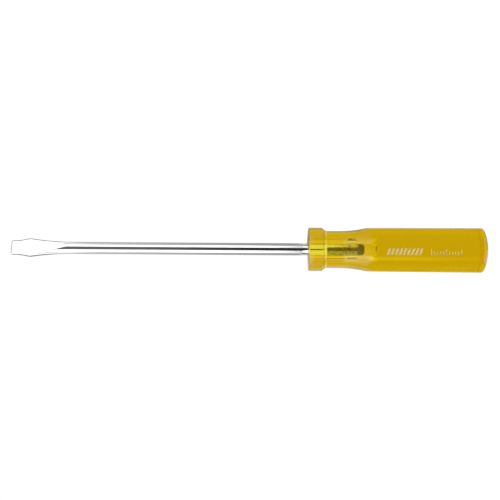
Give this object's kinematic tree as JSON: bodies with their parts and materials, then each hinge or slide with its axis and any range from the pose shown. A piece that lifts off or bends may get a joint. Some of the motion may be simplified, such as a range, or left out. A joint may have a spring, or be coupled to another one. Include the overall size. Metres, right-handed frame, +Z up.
{
  "type": "screwdriver",
  "caption": "Slotted screwdriver: flared forged tip on a long round chromed blade, its winged tang seated in a see-through amber octagonal handle with a collar and turned neck.",
  "frame": {"origin": "centre of the tip's end face, on the blade's axis", "axes": "+X along the axis from the tip to the butt of the handle; +Z up, square to the stamped flat of the grip, with the opposite flat facing down"},
  "size_m": [0.2412, 0.0224, 0.0224],
  "materials": {
    "chromed_steel": "bright chrome plate, lengthwise polish",
    "amber_acetate": "transparent, polished",
    "stamp_foil": "satin hot-stamping foil"
  },
  "bodies": {
    "root": {"blade": "chromed_steel", "handle": "amber_acetate", "stamp_band": "stamp_foil", "stamp_scale": "stamp_foil"}
  },
  "joints": []
}
